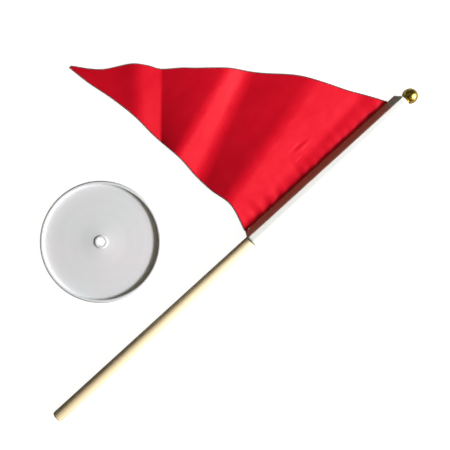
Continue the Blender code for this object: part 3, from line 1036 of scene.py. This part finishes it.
class PENNANT_OT_base(bpy.types.Operator):
    """Turn the dish: rounded rim, filleted floor, and the collar round its hole"""

    bl_idname = "pennant.base"
    bl_label = "Base dish"

    def execute(self, context):
        look = context.scene.base_look
        profile = [(height, radius) for radius, height in self.outline(look)]
        axis, side = Vector((0, 0, 1)), Vector((1, 0, 0))
        work = spin_profile(profile, BASE_CENTRE, axis, side, look.steps, closed=True)
        dish = finish_mesh("moulded_dish", work, 30.0)
        seat(dish, "base", "base_dish", plastic_finish(look))
        return {"FINISHED"}

    def outline(self, look):
        """The dish's section as (radius, height): rim, side, underside, hole, collar and floor."""
        inner = BASE_R - look.rim_width
        hub_top = look.floor + HUB_RISE
        edge = 0.35 * MM
        points = arc((inner + 0.6 * MM, BASE_HEIGHT - 0.6 * MM), 0.6 * MM, 180.0, 90.0, 6)
        points += arc((BASE_R - 1.6 * MM, BASE_HEIGHT - 0.5 * MM), 0.5 * MM, 90.0, 30.0, 5)
        points += [(BASE_R - inset, height) for inset, height in SIDE_TURN]
        points += arc((BASE_R - 0.8 * MM, 0.8 * MM), 0.8 * MM, 0.0, -90.0, 5)
        for radius in GROOVES:
            points += [(radius + 0.5 * MM, 0.0), (radius, GROOVE_DEPTH), (radius - 0.5 * MM, 0.0)]
        points += arc((HOLE_R + edge, edge), edge, 270.0, 180.0, 3)
        points += arc((HOLE_R + edge, hub_top - edge), edge, 180.0, 90.0, 4)
        points += arc((HUB_R - 1.0 * MM, hub_top - 1.0 * MM), 1.0 * MM, 90.0, 12.0, 8)
        points += arc((HUB_R + 0.5 * MM, look.floor + 0.5 * MM), 0.5 * MM, 190.0, 270.0, 4)
        points += [(radius, look.floor) for radius in FLOOR_RINGS]
        points += arc((inner - look.fillet, look.floor + look.fillet), look.fillet, 270.0, 360.0, 9)
        return points


class PENNANT_OT_stage(bpy.types.Operator):
    """Set the pale surface, the window light, the room's light and the camera"""

    bl_idname = "pennant.stage"
    bl_label = "Stage"

    def execute(self, context):
        look = context.scene.stage_look
        self.lay_floor(context, look)
        self.light_room(context, look)
        self.hang_window(context, look)
        self.hang_camera(context, look)
        context.scene.view_settings.view_transform = "Standard"
        return {"FINISHED"}

    def lay_floor(self, context, look):
        """A plain pale surface, just under the pieces."""
        work = bmesh.new()
        bmesh.ops.create_grid(work, x_segments=2, y_segments=2, size=4.0)
        bmesh.ops.translate(work, verts=work.verts, vec=(0.0, 0.0, -0.1 * MM))
        floor = finish_mesh("pale_floor", work)
        material, tree, shader = start_material("pale_floor", 0.9)
        preset(shader, "Base Color", (0.25, 0.25, 0.25, 1.0))
        preset(shader, "Emission Color", (1.0, 1.0, 1.0, 1.0))
        rays = add_node(tree, "ShaderNodeLightPath")
        seen = times(tree, rays.outputs["Is Camera Ray"], look.floor_glow)
        feed(shader, "Emission Strength", seen)
        floor.data.materials.append(material)

    def light_room(self, context, look):
        """A dim warm room; the camera itself sees an even pale backdrop."""
        world = bpy.data.worlds.new("room")
        world.use_nodes = True
        context.scene.world = world
        tree = world.node_tree
        light = tree.nodes["Background"]
        rays = add_node(tree, "ShaderNodeLightPath").outputs
        place = add_node(tree, "ShaderNodeTexCoord").outputs["Generated"]
        walls = self.wall_light(tree, place, rays["Is Glossy Ray"], look)
        things = self.mirrored_things(tree, place, rays["Is Glossy Ray"], look)
        strength = times(tree, maths(tree, "ADD", walls, things), look.fill)
        backdrop = mix_colours(tree, rays["Is Camera Ray"], ROOM_COLOUR, BACKDROP)
        tree.links.new(backdrop, light.inputs["Color"])
        shown = maths(tree, "MAXIMUM", strength, rays["Is Camera Ray"])
        tree.links.new(shown, light.inputs["Strength"])

    def wall_light(self, tree, place, glossy, look):
        """Walls that are dim away from the window, and a soft glow round it."""
        window = (math.cos(look.key_turn), math.sin(look.key_turn), 0.35)
        facing = self.facing(tree, place, window)
        walls = span(tree, facing, -0.4, 0.9, 0.06, 0.16)
        glow = span(tree, facing, 0.78, 0.98, 0.0, 1.1)
        mirrored = span(tree, glossy, 0.0, 1.0, 1.0, 0.35)
        return maths(tree, "ADD", times(tree, walls, mirrored), glow)

    def mirrored_things(self, tree, place, glossy, look):
        """A bright panel and dim shapes that only shiny pieces reflect."""
        flat = math.sin(PANEL_LEAN)
        way = (math.cos(look.key_turn) * flat, math.sin(look.key_turn) * flat, math.cos(PANEL_LEAN))
        panel = span(tree, self.facing(tree, place, way), *PANEL_EDGES, 0.0, 3.0)
        clutter = add_node(tree, "ShaderNodeTexNoise", {"Vector": place, "Scale": 3.2, "Detail": 3.0})
        things = span(tree, clutter.outputs[0], 0.5, 0.62, 0.0, 0.22)
        return times(tree, maths(tree, "MAXIMUM", panel, things), glossy)

    def facing(self, tree, place, way):
        """How far a direction points one way, as a dot product."""
        inputs = {0: place, 1: way}
        return add_node(tree, "ShaderNodeVectorMath", inputs, operation="DOT_PRODUCT").outputs["Value"]

    def hang_window(self, context, look):
        """One low window light, wide and not tall."""
        flat = math.cos(look.key_rise)
        away = Vector(
            (flat * math.cos(look.key_turn), flat * math.sin(look.key_turn), math.sin(look.key_rise))
        )
        lamp = bpy.data.lights.new("window_light", "AREA")
        lamp.shape = "RECTANGLE"
        lamp.size, lamp.size_y = WINDOW_SIZE
        lamp.energy = look.key_power
        lamp.color = WINDOW_COLOUR
        obj = bpy.data.objects.new("window_light", lamp)
        obj.location = away * WINDOW_DISTANCE
        obj.rotation_euler = away.to_track_quat("Z", "Y").to_euler()
        context.scene.collection.objects.link(obj)

    def hang_camera(self, context, look):
        """A camera over the set that looks straight down."""
        camera = bpy.data.cameras.new("camera")
        camera.sensor_width = 36.0
        to_pole = look.camera_height - POLE_AXIS.z
        camera.lens = camera.sensor_width * to_pole / look.picture_width
        obj = bpy.data.objects.new("camera", camera)
        obj.location = CAMERA_TARGET + Vector((0.0, 0.0, look.camera_height))
        obj.rotation_euler = (0.0, 0.0, look.camera_turn)
        context.scene.collection.objects.link(obj)
        context.scene.camera = obj


class PENNANT_PT_sidebar(bpy.types.Panel):
    """Lists the operators that make the flag, the pole, the dish and the stage"""

    bl_idname = "PENNANT_PT_sidebar"
    bl_label = "Pennant flag"
    bl_space_type = "VIEW_3D"
    bl_region_type = "UI"
    bl_category = "Pennant"

    def draw(self, context):
        for operator in OPERATORS:
            self.layout.operator(operator.bl_idname)


SETTINGS = {
    "pole_look": PoleLook,
    "finial_look": FinialLook,
    "sleeve_look": SleeveLook,
    "cloth_look": ClothLook,
    "thread_look": ThreadLook,
    "base_look": BaseLook,
    "stage_look": StageLook,
}
OPERATORS = (
    PENNANT_OT_stage,
    PENNANT_OT_pole,
    PENNANT_OT_finial,
    PENNANT_OT_sleeve,
    PENNANT_OT_cloth,
    PENNANT_OT_edging,
    PENNANT_OT_stitching,
    PENNANT_OT_base,
)


def register():
    for name, kind in SETTINGS.items():
        bpy.utils.register_class(kind)
        setattr(bpy.types.Scene, name, PointerProperty(type=kind))
    for operator in OPERATORS:
        bpy.utils.register_class(operator)
    bpy.utils.register_class(PENNANT_PT_sidebar)


def unregister():
    bpy.utils.unregister_class(PENNANT_PT_sidebar)
    for operator in reversed(OPERATORS):
        bpy.utils.unregister_class(operator)
    for name, kind in reversed(SETTINGS.items()):
        delattr(bpy.types.Scene, name)
        bpy.utils.unregister_class(kind)


def main():
    register()
    bpy.ops.pennant.stage()
    bpy.ops.pennant.pole()
    bpy.ops.pennant.finial()
    bpy.ops.pennant.sleeve()
    bpy.ops.pennant.cloth()
    bpy.ops.pennant.edging()
    bpy.ops.pennant.stitching()
    bpy.ops.pennant.base()


if __name__ == "__main__":
    main()
